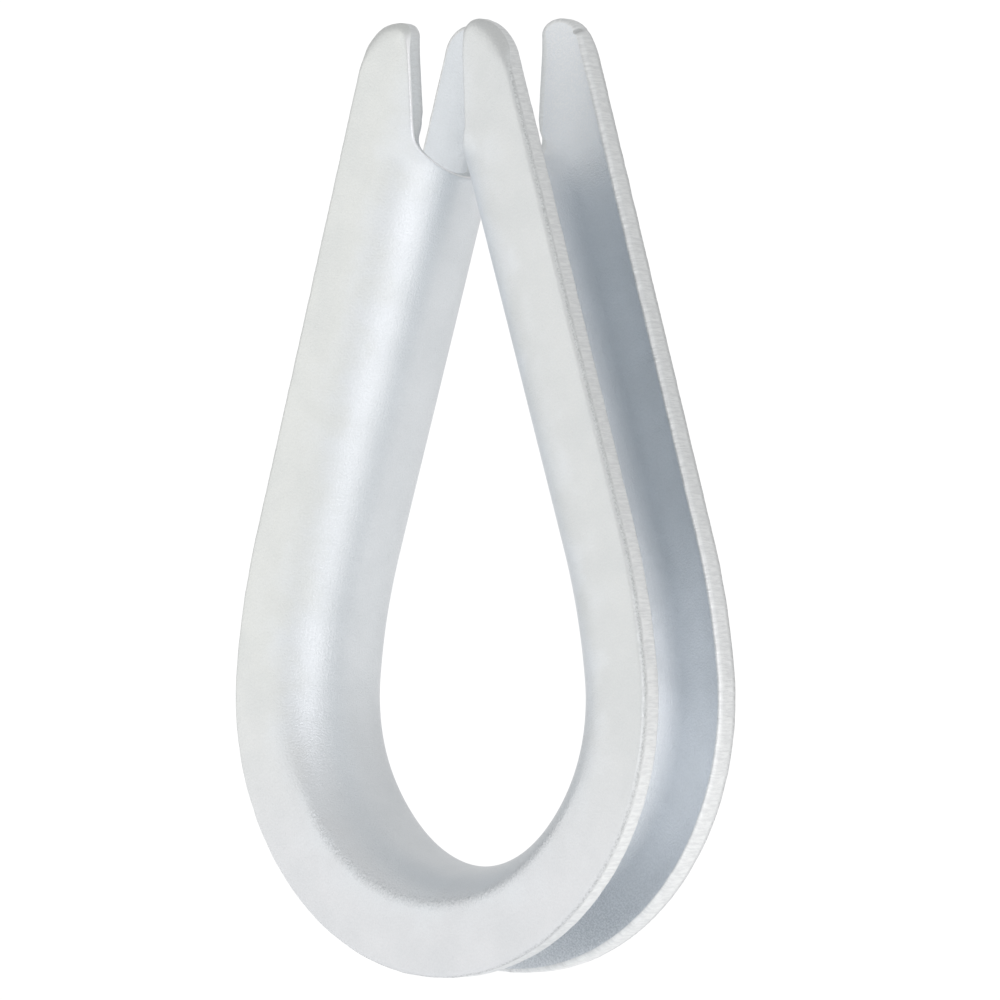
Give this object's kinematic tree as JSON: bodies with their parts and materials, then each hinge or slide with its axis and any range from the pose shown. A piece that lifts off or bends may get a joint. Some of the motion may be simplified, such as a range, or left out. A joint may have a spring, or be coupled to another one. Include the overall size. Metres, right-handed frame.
{
  "type": "wire rope thimble",
  "caption": "Teardrop eye of channel-formed sheet steel whose outward groove carries a rope round the loop; each leg ends in two rounded lobes.",
  "frame": {"origin": "centre of the crown's round, on the eye's axis, at mid width of the channel", "axes": "+Z from the crown to the lobes at the strip's ends, +X across the eye, +Y through the eye along the seat's axis"},
  "size_m": [0.0288, 0.0074, 0.0494],
  "materials": {
    "zinc_plated_steel": "satin bright zinc plating, with sheared strip edges"
  },
  "bodies": {
    "root": {"thimble": "zinc_plated_steel"}
  },
  "joints": []
}
